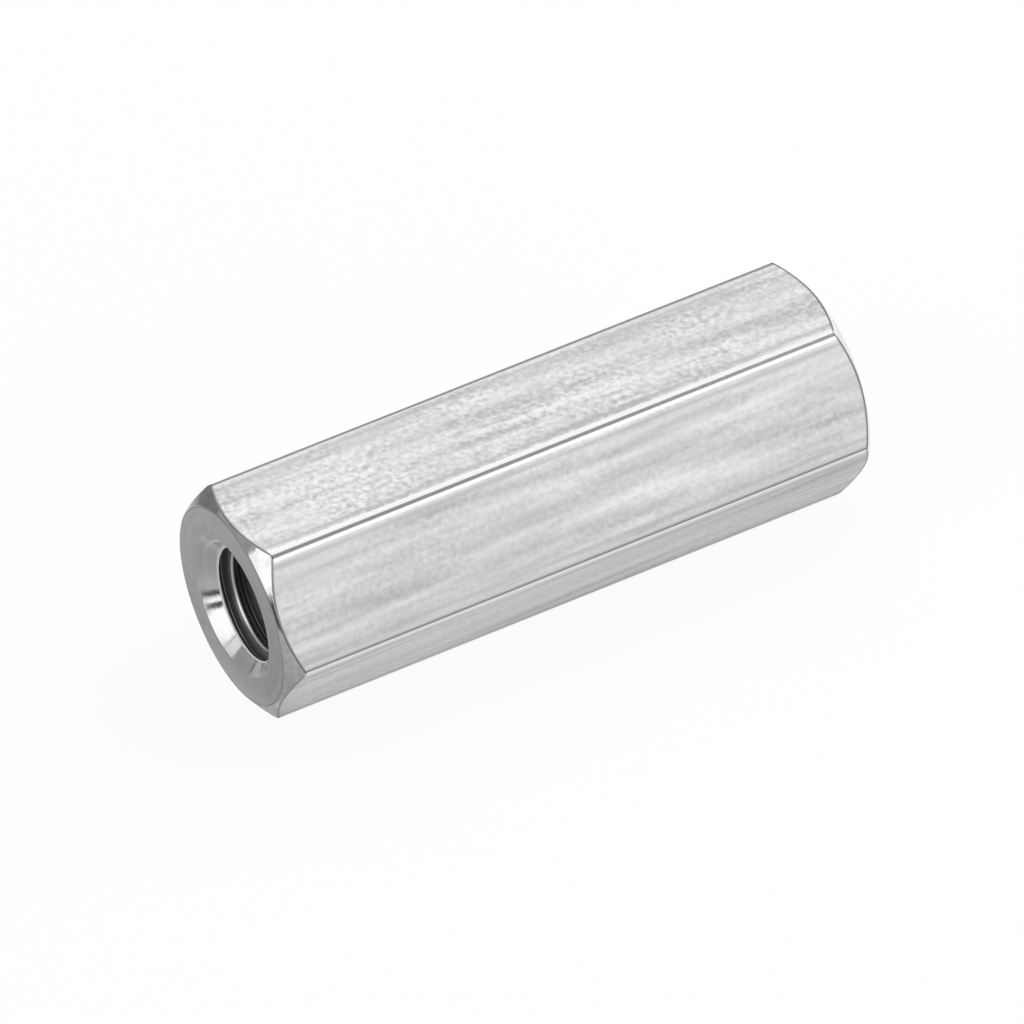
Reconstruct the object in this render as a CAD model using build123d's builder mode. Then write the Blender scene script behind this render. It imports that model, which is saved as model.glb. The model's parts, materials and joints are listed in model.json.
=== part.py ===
from build123d import *

import math
import os

# Coupling nut, M8 x 40, 13 mm across the flats. Lengths are in millimetres.
# It lies on one of its flats with its axis along X. The origin is under its middle, on the
# surface that it lies on.

# Hexagonal drawn bar, its corners slightly rounded
across_flats = 13.0
nut_length = 40.0
corner_radius = 0.5

# Chamfers turned on both ends. Each is a cone that starts at a circle on the end face,
# a little inside the flats, and takes the hexagon's corners back.
face_diameter = 12.6
chamfer_angle = 36.0  # degrees back from the end face

# Tapped through, M8 x 1.25. The bore is plain, at the thread's basic minor diameter.
thread_diameter = 8.0
thread_pitch = 1.25
countersink_diameter = 9.0
countersink_angle = 90.0  # degrees, both sides together

# A basic metric thread is 5/8 as deep as the sharp 60 degree triangle on its pitch
sharp_height = thread_pitch * math.sin(math.radians(60))
minor_diameter = thread_diameter - 2 * 5 / 8 * sharp_height

# The nut's axis is level, half the height of the lying hexagon above the surface
axis_height = across_flats / 2
nut_axis = Axis((0, 0, axis_height), (1, 0, 0))

# A plane on each end, facing out of the nut, and a level one along the axis for half sections,
# where x runs along the nut from its middle and y is the radius
near_end = Plane(origin=(-nut_length / 2, 0, axis_height), x_dir=(0, 1, 0), z_dir=(-1, 0, 0))
far_end = Plane(origin=(nut_length / 2, 0, axis_height), x_dir=(0, 1, 0), z_dir=(1, 0, 0))
half_section = Plane.XY.offset(axis_height)

# The turned blank is wider than the hexagon's sharp corners, so only its cones cut the bar
blank_margin = 0.5
blank_radius = across_flats / math.sqrt(3) + blank_margin
chamfer_depth = (blank_radius - face_diameter / 2) * math.tan(math.radians(chamfer_angle))

with BuildPart() as coupling_nut:
    # The bar, with flats below and above
    with BuildSketch(near_end):
        RegularPolygon(across_flats / 2, 6, major_radius=False)
        fillet(vertices(), corner_radius)
    extrude(amount=-nut_length)

    # Both ends turned to their chamfers
    with BuildSketch(half_section):
        with BuildLine():
            Polyline(
                (-nut_length / 2, 0),
                (-nut_length / 2, face_diameter / 2),
                (-nut_length / 2 + chamfer_depth, blank_radius),
                (nut_length / 2 - chamfer_depth, blank_radius),
                (nut_length / 2, face_diameter / 2),
                (nut_length / 2, 0),
                close=True,
            )
        make_face()
    revolve(axis=nut_axis, mode=Mode.INTERSECT)

    # Bored through and countersunk at each mouth
    with Locations(near_end, far_end):
        CounterSinkHole(
            minor_diameter / 2,
            countersink_diameter / 2,
            counter_sink_angle=countersink_angle,
        )

coupling_nut.part.label = "coupling_nut"

os.makedirs("parts", exist_ok=True)
export_step(coupling_nut.part, "parts/coupling_nut.step")
print("minor diameter", round(minor_diameter, 4))
print("volume, cubic mm", round(coupling_nut.part.volume, 1))
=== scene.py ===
import json
import math

import bmesh
import bpy
import numpy as np
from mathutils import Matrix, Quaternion, Vector


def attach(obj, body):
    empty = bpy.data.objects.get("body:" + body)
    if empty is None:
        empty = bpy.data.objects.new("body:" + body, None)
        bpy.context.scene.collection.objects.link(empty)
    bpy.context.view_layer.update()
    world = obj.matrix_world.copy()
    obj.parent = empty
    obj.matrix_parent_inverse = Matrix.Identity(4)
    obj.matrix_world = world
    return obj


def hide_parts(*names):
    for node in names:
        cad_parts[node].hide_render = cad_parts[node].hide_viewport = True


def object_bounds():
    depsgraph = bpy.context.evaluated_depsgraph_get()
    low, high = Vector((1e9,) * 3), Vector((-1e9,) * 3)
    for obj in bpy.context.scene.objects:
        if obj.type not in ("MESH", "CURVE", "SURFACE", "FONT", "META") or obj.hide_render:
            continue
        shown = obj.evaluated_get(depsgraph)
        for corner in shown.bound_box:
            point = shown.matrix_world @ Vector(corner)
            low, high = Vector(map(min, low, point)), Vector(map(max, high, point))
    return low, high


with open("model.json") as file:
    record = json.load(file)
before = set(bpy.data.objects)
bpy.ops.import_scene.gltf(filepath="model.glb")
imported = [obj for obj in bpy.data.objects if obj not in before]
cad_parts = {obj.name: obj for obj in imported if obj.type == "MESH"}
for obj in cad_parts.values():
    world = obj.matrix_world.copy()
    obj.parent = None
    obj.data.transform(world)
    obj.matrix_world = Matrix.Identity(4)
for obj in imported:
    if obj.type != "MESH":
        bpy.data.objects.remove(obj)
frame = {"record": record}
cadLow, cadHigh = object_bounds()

scene = bpy.context.scene
mm = 0.001

# The frame's own sizes: the nut lies along X, and its thread's mount gives the bore
nutLength = cadHigh.x - cadLow.x
acrossFlats = cadHigh.z - cadLow.z
axisHeight = (cadHigh.z + cadLow.z) / 2
threadMount = next(m for m in frame["record"]["mounts"] if m["name"] == "thread_near")
minorRadius = threadMount["dims"]["r_mm"] * mm

nut = {
    "cornerReach": 0.6,  # mm from the sharp corner, where a flat begins to ease into it
    "cornerHold": 0.95,  # 1 keeps the corner sharp, 0 cuts it straight off
    "faceDiameter": 12.6,  # mm, the circle where the end face meets the chamfer
    "chamferAngle": 36.0,  # degrees back from the end face
    "edgeBreak": 0.05,  # mm, how far each turned edge is softened
    "countersinkDiameter": 9.0,  # mm at the end face
    "majorDiameter": 8.0,  # mm, the thread's roots
    "pitch": 1.25,  # mm
    "threadTurn": 122.0,  # degrees that the whole thread is screwed round
    "crestRounding": 0.045,  # share of the pitch, at each edge of a crest
    "rootRounding": 0.03,
    "flatMargin": 0.012,  # share of a flat's width, a row of points close to each corner
    "edgeMargin": 1.6,  # of edgeBreak, a row of points close to each softened edge
    "sharpFrom": 35.0,  # degrees between faces, past which an edge is shaded as sharp
    "mergeWithin": 0.0005,  # mm
    "threadSteps": 2,
    "cornerSteps": 14,
    "flatSteps": 14,
    "lengthSteps": 12,
    "edgeSteps": 3,
}

# Basic metric thread, in shares of the pitch: half its flat crest, half its flat root and one flank
halfCrest = 1 / 8
halfRoot = 1 / 16
flank = 1 / 2 - halfCrest - halfRoot


# Outline of the bar round its axis, as polar angle and radius, starting at the corner on +Y. A corner
# runs from A on one flat to B on the next, as s goes from 0 to 1: it is the sharp corner P, plus (A-P)
# times (1-s)^3 + 3(1-h)s(1-s)^2, plus (B-P) times s^3 + 3(1-h)s^2(1-s), where h is the hold. A flat is
# the straight line from there to the next corner.
def barOutline(v):
    sharp = acrossFlats / 2 / math.cos(math.radians(30))
    s = np.linspace(0, 1, v["cornerSteps"] + 1)
    fromA = (1 - s) ** 3 + 3 * (1 - v["cornerHold"]) * s * (1 - s) ** 2
    alongFlat = v["cornerReach"] * mm * np.exp(1j * np.radians(120))
    onCorner = sharp + alongFlat.conj() * fromA + alongFlat * fromA[::-1]
    share = np.linspace(0, 1, v["flatSteps"] + 1)[1:-1]
    share = np.concatenate([[v["flatMargin"]], share, [1 - v["flatMargin"]]])
    turn = np.exp(1j * np.radians(60))
    onFlat = onCorner[-1] + (onCorner[0] * turn - onCorner[-1]) * share
    sector = np.concatenate([onCorner, onFlat])
    around = (sector[None, :] * turn ** np.arange(6)[:, None]).ravel()
    angle = np.unwrap(np.angle(np.append(around, around[0])))
    return angle, np.abs(np.append(around, around[0]))


# Thread section over one pitch, as share of the pitch and share of the thread's depth from the crest.
# The crest, a flank, the root and the other flank follow each other, and the flanks are 60 degrees
# apart. Each corner P is the curve (1-s)^2 A + 2s(1-s) P + s^2 B, where A and B are its rounding away
# on its two sides.
def threadSection(crestRounding, rootRounding, steps):
    slope = 1 / flank
    corners = np.array([[-halfCrest, 0], [halfCrest, 0], [0.5 - halfRoot, 1], [0.5 + halfRoot, 1]])
    into = np.array([[-1, slope], [-1, 0], [-1, -slope], [-1, 0]])
    out = np.array([[1, 0], [1, slope], [1, 0], [1, -slope]])
    reach = np.array([crestRounding, crestRounding, rootRounding, rootRounding])[:, None]
    s = np.linspace(0, 1, steps + 1)[None, :, None]
    a, b = (corners + into * reach)[:, None], (corners + out * reach)[:, None]
    curve = (1 - s) ** 2 * a + 2 * s * (1 - s) * corners[:, None] + s**2 * b
    share, depth = curve.reshape(-1, 2).T
    return share, depth


# The bore's wall as (x, radius) for every angle, from the -X mouth to the +X one. Along the axis the
# radius is the larger of the thread's and the countersink's, and the thread's section moves one pitch
# along X for each right-hand turn. A point is added wherever the two surfaces cross. The third result
# says which points are on a countersink.
def boreWall(angle, v, mouthInset):
    share, depth = threadSection(v["crestRounding"], v["rootRounding"], v["threadSteps"])
    pitch = v["pitch"] * mm
    majorRadius = v["majorDiameter"] / 2 * mm
    turns = int(nutLength / pitch / 2) + 2
    along = (np.arange(-turns, turns)[:, None] + share[None, :]).ravel() * pitch
    radius = minorRadius + np.tile(depth, 2 * turns) * (majorRadius - minorRadius)
    lead = (angle - math.radians(v["threadTurn"])) / (2 * math.pi) * pitch
    reach = nutLength / 2 - mouthInset
    x = np.clip(along[None, :] + lead[:, None], -reach, reach)
    thread = np.broadcast_to(radius, x.shape)
    cone = v["countersinkDiameter"] / 2 * mm - (nutLength / 2 - np.abs(x))
    before, after = (thread - cone)[:, :-1], (thread - cone)[:, 1:]
    crosses = before * after < 0
    t = np.where(crosses, before / np.where(crosses, before - after, 1.0), 0.0)
    wallX, wallR, onCone = (np.empty((len(angle), 2 * x.shape[1] - 1)) for _ in range(3))
    wallX[:, 0::2] = x
    wallX[:, 1::2] = x[:, :-1] + (x[:, 1:] - x[:, :-1]) * t
    wallR[:, 0::2] = np.maximum(thread, cone)
    wallR[:, 1::2] = np.maximum(
        thread[:, :-1] + (thread[:, 1:] - thread[:, :-1]) * t,
        cone[:, :-1] + (cone[:, 1:] - cone[:, :-1]) * t,
    )
    onCone[:, 0::2] = cone > thread
    onCone[:, 1::2] = np.where(crosses, True, (cone > thread)[:, :-1])
    return wallX, wallR, onCone > 0.5


# A path whose corners are softened: each inner corner P is replaced by the curve
# (1-s)^2 A + 2s(1-s) P + s^2 B, where A and B lie on its two sides, a given distance from it. A point
# at that distance times the margin comes before the curve and after it.
def softened(path, reach, margin, steps):
    rows = [path[:, 0]]
    s = np.linspace(0, 1, steps + 1)[None, :, None]
    for k in range(1, path.shape[1] - 1):
        corner = path[:, k]
        into, out = path[:, k - 1] - corner, path[:, k + 1] - corner
        a = corner + into / np.linalg.norm(into, axis=1, keepdims=True) * reach
        b = corner + out / np.linalg.norm(out, axis=1, keepdims=True) * reach
        rows.append(corner + (a - corner) * margin)
        curve = (1 - s) ** 2 * a[:, None] + 2 * s * (1 - s) * corner[:, None] + s**2 * b[:, None]
        rows.extend(curve.transpose(1, 0, 2))
        rows.append(corner + (b - corner) * margin)
    rows.append(path[:, -1])
    return np.stack(rows, axis=1)


# The outside as (x, radius) for every angle, from the +X countersink's rim round to the -X one. The
# third result says which points are on the bar's own drawn surface.
def outsideWall(radius, v, mouthInset):
    end, face = nutLength / 2, v["faceDiameter"] / 2 * mm
    rim = v["countersinkDiameter"] / 2 * mm
    back = end - (radius - face) * math.tan(math.radians(v["chamferAngle"]))
    one = np.ones_like(radius)
    inner = rim - mouthInset
    path = np.stack([
        np.stack([one * (end - mouthInset), one * inner], axis=1),
        np.stack([one * end, one * rim], axis=1),
        np.stack([one * end, one * face], axis=1),
        np.stack([back, radius], axis=1),
        np.stack([-back, radius], axis=1),
        np.stack([-one * end, one * face], axis=1),
        np.stack([-one * end, one * rim], axis=1),
        np.stack([-one * (end - mouthInset), one * inner], axis=1),
    ], axis=1)
    wall = softened(path, v["edgeBreak"] * mm, v["edgeMargin"], v["edgeSteps"])[:, 1:-1]
    half = wall.shape[1] // 2
    share = np.linspace(0, 1, v["lengthSteps"] + 1)[None, 1:-1, None]
    along = wall[:, half - 1 : half] * (1 - share) + wall[:, half : half + 1] * share
    drawn = np.zeros(wall.shape[:2], bool)
    drawn[:, half - 2 : half + 2] = True
    onBar = np.ones(along.shape[:2], bool)
    wall = np.concatenate([wall[:, :half], along, wall[:, half:]], axis=1)
    drawn = np.concatenate([drawn[:, :half], onBar, drawn[:, half:]], axis=1)
    return wall[..., 0], wall[..., 1], drawn


# A surface of columns and rows of points, closed round its rows, with its doubled points merged. A
# face takes its material's number from its four points, where they agree, and otherwise the spare one.
def closedSurface(name, points, finish, spare, mergeWithin):
    columns, rows = points.shape[:2]
    i, j = np.meshgrid(np.arange(rows), np.arange(columns - 1))
    nextI = (i + 1) % rows
    here, nextJ = j * rows, (j + 1) * rows
    quads = np.stack([here + i, here + nextI, nextJ + nextI, nextJ + i], axis=-1).reshape(-1, 4)
    ofPoints = finish.ravel()[quads]
    agreed = np.where(ofPoints.min(axis=1) == ofPoints.max(axis=1), ofPoints[:, 0], spare)
    mesh = bpy.data.meshes.new(name)
    mesh.from_pydata(points.reshape(-1, 3), [], quads)
    mesh.polygons.foreach_set("material_index", agreed.astype(np.int32))
    work = bmesh.new()
    work.from_mesh(mesh)
    bmesh.ops.remove_doubles(work, verts=work.verts, dist=mergeWithin)
    work.to_mesh(mesh)
    work.free()
    piece = bpy.data.objects.new(name, mesh)
    scene.collection.objects.link(piece)
    return piece


# The whole nut as one closed surface: at each angle round the axis, the bore's wall runs from the -X
# mouth to the +X one, and the outside runs back. A point at (x, r) and angle a is (x, r cos a, r sin a).
# Finishes by their numbers: 0 the drawn flats, 1 the turned ends, 2 the tapped thread.
def makeNut(v):
    angle, radius = barOutline(v)
    mouthInset = 2 * v["edgeBreak"] * mm  # the two walls meet on the countersinks, this far inside
    boreX, boreR, onCone = boreWall(angle, v, mouthInset)
    outX, outR, drawn = outsideWall(radius, v, mouthInset)
    x = np.concatenate([boreX, outX], axis=1)
    r = np.concatenate([boreR, outR], axis=1)
    finish = np.concatenate([np.where(onCone, 1, 2), np.where(drawn, 0, 1)], axis=1)
    points = np.stack([
        x,
        r * np.cos(angle)[:, None],
        r * np.sin(angle)[:, None] + axisHeight,
    ], axis=-1)
    piece = closedSurface("couplingNut", points, finish, 1, v["mergeWithin"] * mm)
    piece.data.shade_smooth()
    piece.data.set_sharp_from_angle(angle=math.radians(v["sharpFrom"]))
    return piece


couplingNut = makeNut(nut)
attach(couplingNut, "root")
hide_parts("coupling_nut")
print("nut:", len(couplingNut.data.polygons), "faces")


# Adds a node, gives each of its inputs a value or another node's output, and returns one output
def wire(tree, kind, inputs, output=0, **settings):
    made = tree.nodes.new("ShaderNode" + kind)
    for name, value in settings.items():
        setattr(made, name, value)
    for key, value in inputs.items():
        if isinstance(value, bpy.types.NodeSocket):
            tree.links.new(value, made.inputs[key])
        else:
            made.inputs[key].default_value = value
    return made.outputs[output]


# One sum of numbers or outputs
def calc(tree, operation, *values):
    return wire(tree, "Math", dict(enumerate(values)), operation=operation)


# 0 below low, 1 above high and an S-curve between them. With low above high it falls instead.
def step(tree, value, low, high, fromValue=0.0, toValue=1.0):
    inputs = {"Value": value, "From Min": low, "From Max": high, "To Min": fromValue, "To Max": toValue}
    return wire(tree, "MapRange", inputs, interpolation_type="SMOOTHSTEP")


# 1 on the line where value is middle, falling to 0 at a distance of width on either side
def line(tree, value, middle, width):
    away = calc(tree, "ABSOLUTE", calc(tree, "SUBTRACT", value, middle))
    return step(tree, away, width, 0.0)


# 1 close to an edge, up to a share of width from it, and falling to 0 at a distance of width
def nearEdge(tree, distance, width, solidShare=0.3):
    return step(tree, distance, width, width * solidShare)


# The first colour where share is 0, the second where it is 1
def mixed(tree, share, first, second):
    return wire(tree, "Mix", {0: share, 6: first, 7: second}, 2, data_type="RGBA")


# Noise stretched by its own number of patterns per mm on each axis
def grain(tree, x, y, z, perMm, detail=2.0, rough=0.5):
    scaled = [calc(tree, "MULTIPLY", part, often) for part, often in zip((x, y, z), perMm)]
    place = wire(tree, "CombineXYZ", dict(enumerate(scaled)))
    return wire(tree, "TexNoise", {"Vector": place, "Scale": 1.0, "Detail": detail, "Roughness": rough})


# In mm: x along the nut from its middle, y across, z up from its axis, and the distance from the axis
def placeOnNut(tree):
    place = wire(tree, "TexCoord", {}, "Object")
    place = wire(tree, "VectorMath", {0: place, 1: (0, 0, -axisHeight)}, operation="ADD")
    place = wire(tree, "VectorMath", {0: place, "Scale": 1 / mm}, operation="SCALE")
    split = tree.nodes.new("ShaderNodeSeparateXYZ")
    tree.links.new(place, split.inputs[0])
    x, y, z = split.outputs
    flat = wire(tree, "CombineXYZ", {1: y, 2: z})
    radius = wire(tree, "VectorMath", {0: flat}, "Value", operation="LENGTH")
    return x, y, z, radius


# A metal with its tree and its shader
def newMetal(name):
    metal = bpy.data.materials.new(name)
    metal.use_nodes = True
    shader = metal.node_tree.nodes["Principled BSDF"]
    shader.inputs["Metallic"].default_value = 1.0
    return metal, metal.node_tree, shader


flats = {
    "dark": (0.54, 0.54, 0.545, 1),
    "pale": (0.98, 0.98, 0.98, 1),
    # the corners' colour: partly real burnish, partly a painted highlight
    "burnishAndSheen": (0.88, 0.88, 0.88, 1),
    "edge": (0.25, 0.25, 0.25, 1),
    "roughness": 0.3,
    "fleckRoughness": 0.1,  # how far that swings with the flecks
    "cornerRoughness": 0.16,
    # Each pattern's number per mm along the bar and across it, its detail, and how much it changes the
    # tone
    "streaks": (0.04, 0.8, 1.5, 1.2),
    "drawLines": (0.07, 2.0, 1.5, 1.0),
    "flecks": (2.8, 3.2, 2.5, 0.8),
    "scuffed": 1.1,  # how much more the flecks show on the top and bottom flats
    "scuffedWithin": (0.3, 0.05),  # mm under those flats, where that begins and where it is full
    "patches": (0.16, 0.35),  # areas of fewer or more flecks, per mm along the bar and across it
    "patchLimits": (0.35, 0.65),  # noise that gives the fewest and the most
    "patchShares": (0.65, 1.3),
    "slant": 0.05,  # how far the patterns drift across, per mm along
    "burnishAndSheenTo": 0.44,  # mm round from a corner's middle, where the paler corner, partly burnish and partly a painted highlight, ends
    "burnishAndSheenFade": 0.12,  # mm
    "paintedShadeLine": (0.66, 0.2),  # a painted dark line beside each corner, standing in for a reflection of dark surroundings: mm round from a corner's middle, and half its width
    "paintedShadeStrength": 0.6,
    "edgeWidth": 0.17,  # mm, a dark line along the turned ends
    "fleckDepth": 0.003,  # mm
}


# How far round the bar the nearest of its six corners is, in mm: the polar angle folded into 30 degrees,
# times the radius
def distanceToCorner(tree, y, z, radius):
    sector = math.pi / 6
    fromFlat = calc(tree, "PINGPONG", calc(tree, "ARCTAN2", y, z), sector)
    return calc(tree, "MULTIPLY", calc(tree, "SUBTRACT", sector, fromFlat), radius)


# How deep a point lies under the nearest flat, in mm: half the width across flats less the largest of
# |z| and |y cos 30 + z sin 30| and |y cos 30 - z sin 30|
def depthUnderFlats(tree, y, z):
    half = calc(tree, "MULTIPLY", z, 0.5)
    slanted = calc(tree, "MULTIPLY", y, math.cos(math.radians(30)))
    rising = calc(tree, "ABSOLUTE", calc(tree, "ADD", slanted, half))
    falling = calc(tree, "ABSOLUTE", calc(tree, "SUBTRACT", slanted, half))
    reach = calc(tree, "MAXIMUM", calc(tree, "ABSOLUTE", z), calc(tree, "MAXIMUM", rising, falling))
    return calc(tree, "SUBTRACT", acrossFlats / mm / 2, reach)


# How far a point on the bar is from the nearest chamfer, in mm along X: the chamfer's cone meets the
# bar at half the length, less the radius past the face times the cone's slope
def distanceToChamfer(tree, x, radius):
    slope = math.tan(math.radians(nut["chamferAngle"]))
    atAxis = nutLength / mm / 2 + nut["faceDiameter"] / 2 * slope
    reach = calc(tree, "MULTIPLY_ADD", radius, -slope, atAxis)
    return calc(tree, "SUBTRACT", reach, calc(tree, "ABSOLUTE", x))


# Cold-drawn flats: broad soft streaks, draw lines and short flecks along the bar, shinier corners that
# are paler, partly burnish and partly a painted highlight, a painted dark line beside each corner, and a
# thin dark edge at the chamfers. The tone starts half way from dark to pale, and each pattern adds its
# noise less a half, times its share.
def makeFlats(v):
    metal, tree, shader = newMetal("drawnFlats")
    x, y, z, radius = placeOnNut(tree)
    drift = calc(tree, "MULTIPLY", x, v["slant"])
    acrossY, acrossZ = calc(tree, "ADD", y, drift), calc(tree, "SUBTRACT", z, drift)
    begins, full = (acrossFlats / mm / 2 - under for under in v["scuffedWithin"])
    scuffed = step(tree, calc(tree, "ABSOLUTE", z), begins, full)
    along, across = v["patches"]
    patches = grain(tree, x, acrossY, acrossZ, (along, across, across), 1.0)
    patches = step(tree, patches, *v["patchLimits"], *v["patchShares"])
    fleckShare = calc(tree, "MULTIPLY_ADD", scuffed, v["scuffed"], v["flecks"][3])
    fleckShare = calc(tree, "MULTIPLY", fleckShare, patches)
    tone = 0.5
    for part in ("streaks", "drawLines", "flecks"):
        along, across, detail, share = v[part]
        pattern = grain(tree, x, acrossY, acrossZ, (along, across, across), detail)
        share = fleckShare if part == "flecks" else share
        tone = calc(tree, "MULTIPLY_ADD", calc(tree, "SUBTRACT", pattern, 0.5), share, tone)
    flecks = pattern
    toCorner = distanceToCorner(tree, y, z, radius)
    # A painted dark line beside each corner, standing in for a reflection of dark surroundings
    paintedShade = line(tree, toCorner, *v["paintedShadeLine"])
    tone = calc(tree, "MULTIPLY", tone, calc(tree, "MULTIPLY_ADD", paintedShade, -v["paintedShadeStrength"], 1.0))
    # Paler corners, partly real burnish and partly a painted highlight
    corner = step(tree, toCorner, v["burnishAndSheenTo"], v["burnishAndSheenTo"] - v["burnishAndSheenFade"])
    colour = mixed(tree, corner, mixed(tree, tone, v["dark"], v["pale"]), v["burnishAndSheen"])
    atEdge = nearEdge(tree, distanceToChamfer(tree, x, radius), v["edgeWidth"])
    tree.links.new(mixed(tree, atEdge, colour, v["edge"]), shader.inputs["Base Color"])
    swing = v["fleckRoughness"]
    rough = calc(tree, "MULTIPLY_ADD", flecks, swing, v["roughness"] - swing / 2)
    rough = wire(tree, "Mix", {0: corner, 2: rough, 3: v["cornerRoughness"]}, data_type="FLOAT")
    tree.links.new(rough, shader.inputs["Roughness"])
    bump = wire(tree, "Bump", {"Height": flecks, "Distance": v["fleckDepth"] * mm, "Strength": 1.0})
    tree.links.new(bump, shader.inputs["Normal"])
    return metal


ends = {
    "dark": (0.28, 0.28, 0.285, 1),
    "face": (0.78, 0.78, 0.78, 1),
    "faceTone": 0.55,  # the least share of that colour over dark
    "satinShare": 0.25,  # and what the rings and the faint patches add
    "mottleShare": 0.5,
    "mottlePerMm": 1.5,
    "faceEdges": (0.04, 0.02),  # mm inside and outside the face, where its finish fades out
    "outline": (0.03, 0.09, 0.7),  # a dark line: mm in from the face's edge, half its width, strength
    "cut": (0.88, 0.88, 0.88, 1),
    "cutSatin": 0.15,  # how much of dark the rings bring into the cones
    "chamfer": (0.72, 0.72, 0.72, 1),  # where a chamfer is rubbed dull
    "rubbed": (0.42, 0.62),  # noise where that begins and where it is full
    "chamferFade": 0.1,  # mm outward from the face, where that fades in
    "faceRoughness": 0.34,
    "cutRoughness": 0.08,
    "satinRoughness": 0.04,
    "rings": (9.0, 0.15),  # patterns per mm outward, and along the rings
    "ringLimits": (0.3, 0.7),
    "ringDepth": 0.0015,  # mm
    "edge": (0.3, 0.3, 0.3, 1),
    "edgeWidth": 0.04,  # mm, a dark line where the chamfers meet the flats
    # A pale rim round the thread's mouth: a painted highlight on the burr at that edge
    "burrHighlight": (0.95, 0.95, 0.95, 1),
    "burrHighlightShine": 0.3,  # how metallic the pale rim still looks
    "burrHighlightWidth": 0.28,  # mm past the thread's own radius, a dull pale rim round its mouth, painted as a highlight on its burr
    "burrHighlightTo": (4.2, 3.9),  # mm from the axis, where that rim fades out
    "burrRoughness": 0.5,
    "dullFrom": (4.0, 4.5),  # mm from the axis, where a countersink grows duller toward its rim
    "dullRoughness": 0.08,
    "wavesPerMm": 1.3,  # the cutter's faint unevenness
    "waveDepth": 0.008,  # mm
}


# The thread's own radius in mm at a point's place along and round the bore: the distance from the
# nearest crest's middle is the point's share of a pitch along X less its share of a turn, folded into
# half a pitch. The minor radius holds to the crest's edge, and one flank rises from it to the major one.
def threadRadius(tree, x, y, z):
    turned = calc(tree, "SUBTRACT", calc(tree, "ARCTAN2", z, y), math.radians(nut["threadTurn"]))
    turned = calc(tree, "DIVIDE", turned, 2 * math.pi)
    share = calc(tree, "SUBTRACT", calc(tree, "DIVIDE", x, nut["pitch"]), turned)
    fromCrest = calc(tree, "PINGPONG", share, 0.5)
    inputs = {"Value": fromCrest, "From Min": halfCrest, "From Max": halfCrest + flank}
    inputs.update({"To Min": minorRadius / mm, "To Max": nut["majorDiameter"] / 2})
    return wire(tree, "MapRange", inputs)


# Turned ends: a satin face with fine rings and a dark line round it, cut cones inside and outside it
# that are brighter, and a pale rim where a countersink runs into the thread, a painted highlight on its
# burr
def makeEnds(v):
    metal, tree, shader = newMetal("turnedEnds")
    x, y, z, radius = placeOnNut(tree)
    face = nut["faceDiameter"] / 2
    rim = nut["countersinkDiameter"] / 2
    inside, outside = v["faceEdges"]
    pastRim = step(tree, radius, rim - outside, rim + inside)
    onFace = calc(tree, "MULTIPLY", pastRim, step(tree, radius, face + outside, face - inside))
    outward, alongRing = v["rings"]
    rings = grain(tree, radius, y, z, (outward, alongRing, alongRing), 3.0, 0.6)
    satin = step(tree, rings, *v["ringLimits"])
    mottle = grain(tree, x, y, z, (v["mottlePerMm"],) * 3, 3.0)
    faceTone = calc(tree, "MULTIPLY_ADD", mottle, v["mottleShare"], v["faceTone"])
    faceTone = calc(tree, "MULTIPLY_ADD", satin, v["satinShare"], faceTone)
    faceColour = mixed(tree, faceTone, v["dark"], v["face"])
    inset, width, strength = v["outline"]
    outline = calc(tree, "MULTIPLY", line(tree, radius, face - inset, width), strength)
    faceColour = mixed(tree, outline, faceColour, v["dark"])
    cutTone = calc(tree, "MULTIPLY_ADD", satin, v["cutSatin"], 1 - v["cutSatin"])
    cutColour = mixed(tree, cutTone, v["dark"], v["cut"])
    onChamfer = step(tree, radius, face, face + v["chamferFade"])
    rubbed = calc(tree, "MULTIPLY", step(tree, mottle, *v["rubbed"]), onChamfer)
    cutColour = mixed(tree, rubbed, cutColour, v["chamfer"])
    atEdge = nearEdge(tree, depthUnderFlats(tree, y, z), v["edgeWidth"])
    cutColour = mixed(tree, atEdge, cutColour, v["edge"])
    # A pale, less metallic rim where a countersink runs into the thread: a painted highlight on its burr
    past = calc(tree, "SUBTRACT", radius, threadRadius(tree, x, y, z))
    rimBand = step(tree, past, v["burrHighlightWidth"], v["burrHighlightWidth"] / 2)
    burrHighlight = calc(tree, "MULTIPLY", rimBand, step(tree, radius, *v["burrHighlightTo"]))
    cutColour = mixed(tree, burrHighlight, cutColour, v["burrHighlight"])
    tree.links.new(mixed(tree, onFace, cutColour, faceColour), shader.inputs["Base Color"])
    shine = calc(tree, "MULTIPLY_ADD", burrHighlight, v["burrHighlightShine"] - 1, 1.0)
    tree.links.new(shine, shader.inputs["Metallic"])
    ofCut, ofFace = v["cutRoughness"], v["faceRoughness"]
    rough = wire(tree, "Mix", {0: onFace, 2: ofCut, 3: ofFace}, data_type="FLOAT")
    rough = calc(tree, "MULTIPLY_ADD", burrHighlight, v["burrRoughness"], rough)
    onCountersink = step(tree, radius, rim + outside, rim - outside)
    dulled = calc(tree, "MULTIPLY", step(tree, radius, *v["dullFrom"]), onCountersink)
    rough = calc(tree, "MULTIPLY_ADD", dulled, v["dullRoughness"], rough)
    rough = calc(tree, "MULTIPLY_ADD", satin, v["satinRoughness"], rough)
    tree.links.new(rough, shader.inputs["Roughness"])
    waves = grain(tree, x, y, z, (v["wavesPerMm"],) * 3, 1.0)
    onCut = calc(tree, "SUBTRACT", 1.0, onFace)
    height = calc(tree, "MULTIPLY", rings, v["ringDepth"])
    height = calc(tree, "MULTIPLY_ADD", calc(tree, "MULTIPLY", waves, onCut), v["waveDepth"], height)
    bump = wire(tree, "Bump", {"Height": height, "Distance": mm, "Strength": 1.0})
    tree.links.new(bump, shader.inputs["Normal"])
    return metal


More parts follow.
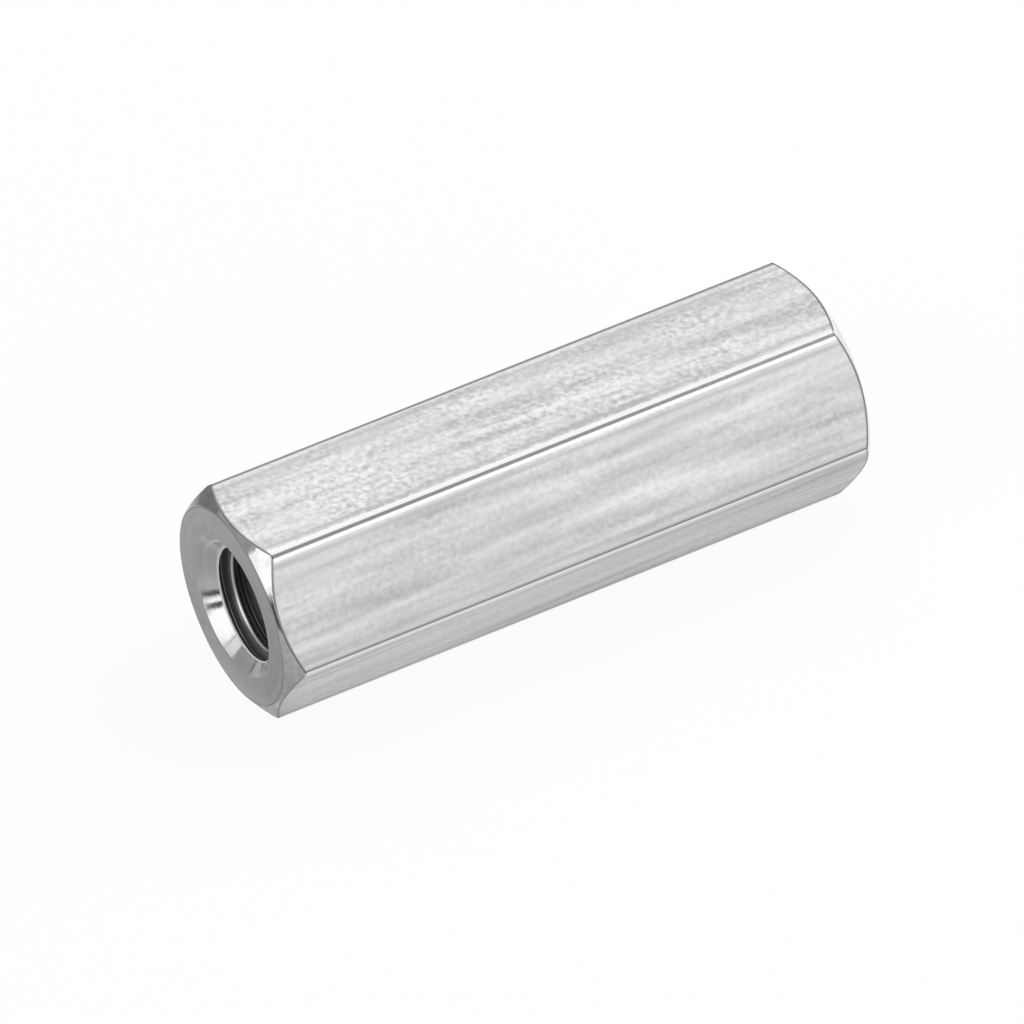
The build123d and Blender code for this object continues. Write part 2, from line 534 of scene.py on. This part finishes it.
thread = {
    # the thread's colour, dark partly as painted shade in its grooves
    "dark": (0.27, 0.27, 0.272, 1),
    # the colour of the painted highlights on the crests
    "edge": (1.0, 1.0, 1.0, 1),
    "crestHighlight": (0.06, 0.09),  # mm out from the crests, the middle of their painted highlights and half its width
    "deep": (0.26, 0.26, 0.26, 1),  # further into the bore, painted shade
    "deepShadeFrom": (2.4, 2.8),  # mm from the end face, where that painted shade begins
    "deepRoughness": 0.45,
    "roughness": 0.3,
    "markRoughness": 0.12,  # how far that swings with the tap's marks
    "marks": (12.0, 0.5),  # patterns per mm along the bore, and round it
    "markShare": 0.2,
    "markDepth": 0.002,  # mm
}


# Tapped thread: dark, partly as painted shade in its grooves, with painted highlights along its crests'
# edges and fine marks that run round the bore, and painted shade and more roughness further in
def makeThread(v):
    metal, tree, shader = newMetal("tappedThread")
    x, y, z, radius = placeOnNut(tree)
    along, around = v["marks"]
    marks = grain(tree, x, y, z, (along, around, around), 3.0, 0.6)
    # A painted highlight along each crest's edge, bright over the dark grooves
    out, width = v["crestHighlight"]
    crestHighlight = line(tree, radius, minorRadius / mm + out, width)
    tone = calc(tree, "MULTIPLY_ADD", calc(tree, "SUBTRACT", marks, 0.5), v["markShare"], crestHighlight)
    colour = mixed(tree, tone, v["dark"], v["edge"])
    # Painted shade further into the bore, where it is also rougher
    depth = calc(tree, "SUBTRACT", nutLength / mm / 2, calc(tree, "ABSOLUTE", x))
    deepShade = step(tree, depth, *v["deepShadeFrom"])
    colour = mixed(tree, deepShade, colour, v["deep"])
    tree.links.new(colour, shader.inputs["Base Color"])
    swing = v["markRoughness"]
    rough = calc(tree, "MULTIPLY_ADD", marks, swing, v["roughness"] - swing / 2)
    rough = calc(tree, "MULTIPLY_ADD", deepShade, v["deepRoughness"], rough)
    tree.links.new(rough, shader.inputs["Roughness"])
    bump = wire(tree, "Bump", {"Height": marks, "Distance": v["markDepth"] * mm, "Strength": 1.0})
    tree.links.new(bump, shader.inputs["Normal"])
    return metal


for metal in (makeFlats(flats), makeEnds(ends), makeThread(thread)):
    couplingNut.data.materials.append(metal)
print("finishes:", ", ".join(metal.name for metal in couplingNut.data.materials))


# Unit vector toward an azimuth, in degrees from +Y toward +X, and an elevation. Its height is the sine
# of the elevation, and the cosine is shared out as the azimuth's sine along X and its cosine along Y.
def direction(azimuth, elevation):
    a, e = math.radians(azimuth), math.radians(elevation)
    return Vector((math.sin(a) * math.cos(e), math.cos(a) * math.cos(e), math.sin(e)))


# A flat sheet of four points, on the stage but not part of the object
def stageSheet(name, corners):
    mesh = bpy.data.meshes.new(name)
    mesh.from_pydata(np.asarray(corners, float).reshape(-1, 3), [], [(0, 1, 2, 3)])
    underShadow = bpy.data.objects.new(name, mesh)
    scene.collection.objects.link(underShadow)
    return underShadow


# A neutral colour, 0 black and 1 white
def grey(level):
    return (level, level, level, 1)


studioFloor = {
    "size": 3.0,  # metres
    "under": 0.02,  # mm under the nut, so that the floor and the flat it lies on don't share a plane
    "colour": 0.9,
    "glow": 0.87,  # share of white in what the camera sees of the floor
    "glowLevel": 1.04,
}

# The floor as the metal shows it, in tones from 0 to 1: a painted reflection, with painted shadow under
# and close to the nut. A range says, in metres, where a tone begins and where it is full: along X or Y
# from the nut's middle, or outward from the stretch of axis in the nut.
floorTones = {
    "underShadow": 0.66,  # under the nut, painted shadow
    "nearEnd": (0.32, 0.45),  # past its -X end, painted shadow: close to the nut, and further out
    "nearEndFade": (0.0, 0.018),  # outward
    "nearEndFrom": (-0.017, -0.023),  # along X
    "white": 1.0,  # past its +X end, and far off in front
    "farEndFrom": (0.020, 0.028),  # along X
    "gap": (0.2, 0.07),  # a dark gap round all that: behind the nut, and in front
    "gapFade": (0.0, -0.015),  # along Y
    "gapFrom": (0.026, 0.040),  # outward
    "whiteFrom": (0.15, 0.24),  # outward
    "whiteInFront": (-0.02, -0.05),  # along Y
    "strip": 0.85,  # close along the nut's front
    "stripFrom": (-0.0075, -0.0085),  # along Y
    "stripTo": (-0.015, -0.013),
    "front": (0.2, 0.45),  # further in front: first darker, then paler
    "frontFrom": (-0.016, -0.022),  # along Y
    "paleFrom": (-0.032, -0.045),
    "frontStart": (-0.045, -0.025),  # along X, so the white in front is left on the -X side
    "behind": 1.0,
    "behindFrom": (0.009, 0.013),  # along Y
    "shade": 0.42,  # right under the nut
    "shadeFrom": (0.0042, 0.0038),  # across, from the middle
    "shadeEnd": (0.0003, 0.0001),  # past the nut's ends
}


# The tone of the floor at a place on it. Each area is laid over those before it, by the product of its
# shares along X, along Y and outward. Outward is the distance from the nut's axis, or from its end.
def floorTone(tree, x, y, v):
    past = calc(tree, "SUBTRACT", calc(tree, "ABSOLUTE", x), nutLength / 2)
    past = calc(tree, "MAXIMUM", past, 0.0)
    outward = wire(tree, "CombineXYZ", {0: past, 1: y})
    outward = wire(tree, "VectorMath", {0: outward}, "Value", operation="LENGTH")

    def lay(tone, level, *shares):
        share = shares[0]
        for other in shares[1:]:
            share = calc(tree, "MULTIPLY", share, other)
        return mixed(tree, share, tone, level)

    close, further = (grey(level) for level in v["nearEnd"])
    nearEnd = mixed(tree, step(tree, outward, *v["nearEndFade"]), close, further)
    tone = lay(grey(v["underShadow"]), nearEnd, step(tree, x, *v["nearEndFrom"]))
    tone = lay(tone, grey(v["white"]), step(tree, x, *v["farEndFrom"]))
    gapBehind, gapInFront = (grey(level) for level in v["gap"])
    gap = mixed(tree, step(tree, y, *v["gapFade"]), gapBehind, gapInFront)
    tone = lay(tone, gap, step(tree, outward, *v["gapFrom"]))
    inFront = step(tree, y, *v["whiteInFront"])
    tone = lay(tone, grey(v["white"]), step(tree, outward, *v["whiteFrom"]), inFront)
    beside = step(tree, x, *reversed(v["nearEndFrom"]))  # all but past the -X end
    strip = calc(tree, "MULTIPLY", step(tree, y, *v["stripFrom"]), step(tree, y, *v["stripTo"]))
    tone = lay(tone, grey(v["strip"]), strip, beside)
    alongFront = step(tree, x, *v["frontStart"])
    dark, pale = (grey(level) for level in v["front"])
    tone = lay(tone, dark, alongFront, step(tree, y, *v["frontFrom"]))
    tone = lay(tone, pale, alongFront, step(tree, y, *v["paleFrom"]))
    tone = lay(tone, grey(v["behind"]), step(tree, y, *v["behindFrom"]), beside)
    across = step(tree, calc(tree, "ABSOLUTE", y), *v["shadeFrom"])
    return lay(tone, grey(v["shade"]), across, step(tree, past, *v["shadeEnd"]))


# A pale floor that takes the nut's shadow. To the camera most of its light is plain white, and to the
# metal it shows its tones, a painted reflection with painted shadow close to the nut. From below it is
# clear.
def makeFloor(v, tones):
    half, z = v["size"] / 2, cadLow.z - v["under"] * mm
    floor = stageSheet("floor", [(-half, -half, z), (half, -half, z), (half, half, z), (-half, half, z)])
    paint = bpy.data.materials.new("floorPaint")
    paint.use_nodes = True
    tree = paint.node_tree
    tree.nodes.clear()
    matte = wire(tree, "BsdfDiffuse", {"Color": grey(v["colour"])})
    white = wire(tree, "Emission", {"Color": grey(1), "Strength": v["glowLevel"]})
    place = tree.nodes.new("ShaderNodeSeparateXYZ")
    tree.links.new(wire(tree, "TexCoord", {}, "Object"), place.inputs[0])
    tone = floorTone(tree, place.outputs[0], place.outputs[1], tones)
    # The tones glow for rays from the metal: a painted reflection of the floor, with painted shadow by
    # the nut
    inMetal = wire(tree, "Emission", {"Color": tone, "Strength": 1.0})
    path = tree.nodes.new("ShaderNodeLightPath")
    byCamera = calc(tree, "MULTIPLY", path.outputs["Is Camera Ray"], v["glow"])
    shown = wire(tree, "MixShader", {0: byCamera, 1: matte, 2: white})
    shown = wire(tree, "MixShader", {0: path.outputs["Is Glossy Ray"], 1: shown, 2: inMetal})
    below = wire(tree, "NewGeometry", {}, "Backfacing")
    clear = wire(tree, "BsdfTransparent", {})
    surface = wire(tree, "MixShader", {0: below, 1: shown, 2: clear})
    result = tree.nodes.new("ShaderNodeOutputMaterial")
    tree.links.new(surface, result.inputs["Surface"])
    floor.data.materials.append(paint)


# Softboxes round the nut. Azimuth is in degrees from +Y toward +X, sizes are in metres, and level is
# how bright the box looks where 1 is white.
softboxes = {
    "behind": {"azimuth": 30, "elevation": 41.5, "width": 1.2, "height": 0.19, "level": 0.96},
    "above": {"azimuth": 50, "elevation": 62, "width": 1.2, "height": 0.36, "level": 1.02},
    "front": {"azimuth": 156, "elevation": 24, "width": 1.2, "height": 0.3, "level": 1.12},
    "frontLow": {"azimuth": 156, "elevation": 6, "width": 1.2, "height": 0.2, "level": 0.42},
    "left": {"azimuth": -96, "elevation": 15, "width": 0.69, "height": 0.41, "level": 1.12},
    "leftBehind": {"azimuth": -61, "elevation": 26, "width": 0.2, "height": 0.14, "level": 0.66},
    "right": {"azimuth": 95, "elevation": 35, "width": 0.9, "height": 0.8, "level": 1.0},
    "highLeft": {"azimuth": -105, "elevation": 60, "width": 0.9, "height": 0.7, "level": 1.0},
}
boxDistance = 0.8  # metres
wattsPerLevel = math.pi**2 / 4  # for a box of one square metre


# A box of light that faces the nut's middle. Its watts are its level times its area times the constant.
def makeSoftbox(name, v):
    data = bpy.data.lights.new(name, "AREA")
    data.shape = "RECTANGLE"
    data.size, data.size_y = v["width"], v["height"]
    data.energy = v["level"] * wattsPerLevel * v["width"] * v["height"]
    box = bpy.data.objects.new(name, data)
    away = direction(v["azimuth"], v["elevation"])
    box.location = away * boxDistance + Vector((0, 0, axisHeight))
    box.rotation_mode = "QUATERNION"
    box.rotation_quaternion = away.to_track_quat("Z", "Y")
    box.visible_camera = False
    scene.collection.objects.link(box)


blackCard = {
    "azimuth": -112,  # in front of the softbox on the left
    "low": 4.8,  # degrees above the nut's axis
    "high": 10.2,
    "distance": 0.5,  # metres
    "width": 0.24,
    "colour": 0.01,
}


# An upright dark card that the countersink shows as a dark streak. Its edges stand at the distance times
# the tangent of their angle, above the nut's axis.
def makeCard(v):
    black = bpy.data.materials.new("blackCard")
    black.use_nodes = True
    shader = black.node_tree.nodes["Principled BSDF"]
    shader.inputs["Base Color"].default_value = grey(v["colour"])
    shader.inputs["Roughness"].default_value = 1.0
    out = direction(v["azimuth"], 0)
    side = Vector((out.y, -out.x, 0)) * v["width"] / 2
    edges = (v["distance"] * math.tan(math.radians(v[edge])) + axisHeight for edge in ("low", "high"))
    foot, top = (out * v["distance"] + Vector((0, 0, z)) for z in edges)
    card = stageSheet("blackCard1", [foot - side, foot + side, top + side, top - side])
    card.data.materials.append(black)
    card.visible_camera = False


surroundings = {
    "horizon": 0.34,
    "overhead": 0.25,
    "overheadFrom": 0.9,  # the sine of the angle where that tone is full
}


# The studio beyond the lights, mixed from its two tones by how steeply up one looks
def makeWorld(v):
    world = bpy.data.worlds.new("studio")
    scene.world = world
    world.use_nodes = True
    tree = world.node_tree
    split = tree.nodes.new("ShaderNodeSeparateXYZ")
    tree.links.new(wire(tree, "TexCoord", {}, "Generated"), split.inputs[0])
    up = step(tree, split.outputs[2], 0.0, v["overheadFrom"])
    colour = mixed(tree, up, grey(v["horizon"]), grey(v["overhead"]))
    tree.links.new(colour, tree.nodes["Background"].inputs["Color"])


makeFloor(studioFloor, floorTones)
for name, v in softboxes.items():
    makeSoftbox(name, v)
makeCard(blackCard)
makeWorld(surroundings)
print("stage:", len(softboxes), "softboxes")

camera = {
    "azimuth": -28.45,  # degrees, 0 looks along +Y
    "elevation": 41.95,
    "roll": -1.8,
    "lens": 750.0,  # mm
    "sensor": 36.0,
    "distance": 1.266,  # metres
    "clips": (0.05, 20.0),
    "aimRight": -0.82,  # mm from the nut's middle, in the picture's plane
    "aimUp": -1.34,
}


# A long lens that looks at the aim along its azimuth, from its elevation, and then turned by the roll.
# It stands back from the aim by the distance.
def placeCamera(v):
    a, e = math.radians(v["azimuth"]), math.radians(v["elevation"])
    back = Vector((math.sin(a) * math.cos(e), -math.cos(a) * math.cos(e), math.sin(e)))
    turn = (-back).to_track_quat("-Z", "Y") @ Quaternion((0, 0, 1), math.radians(v["roll"]))
    aim = (cadLow + cadHigh) / 2
    aim += turn @ Vector((v["aimRight"] * mm, v["aimUp"] * mm, 0))
    data = bpy.data.cameras.new("camera")
    data.lens = v["lens"]
    data.sensor_width = v["sensor"]
    data.clip_start, data.clip_end = v["clips"]
    placed = bpy.data.objects.new("camera", data)
    placed.location = aim + back * v["distance"]
    placed.rotation_mode = "QUATERNION"
    placed.rotation_quaternion = turn
    scene.collection.objects.link(placed)
    scene.camera = placed


placeCamera(camera)
scene.view_settings.view_transform = "Standard"
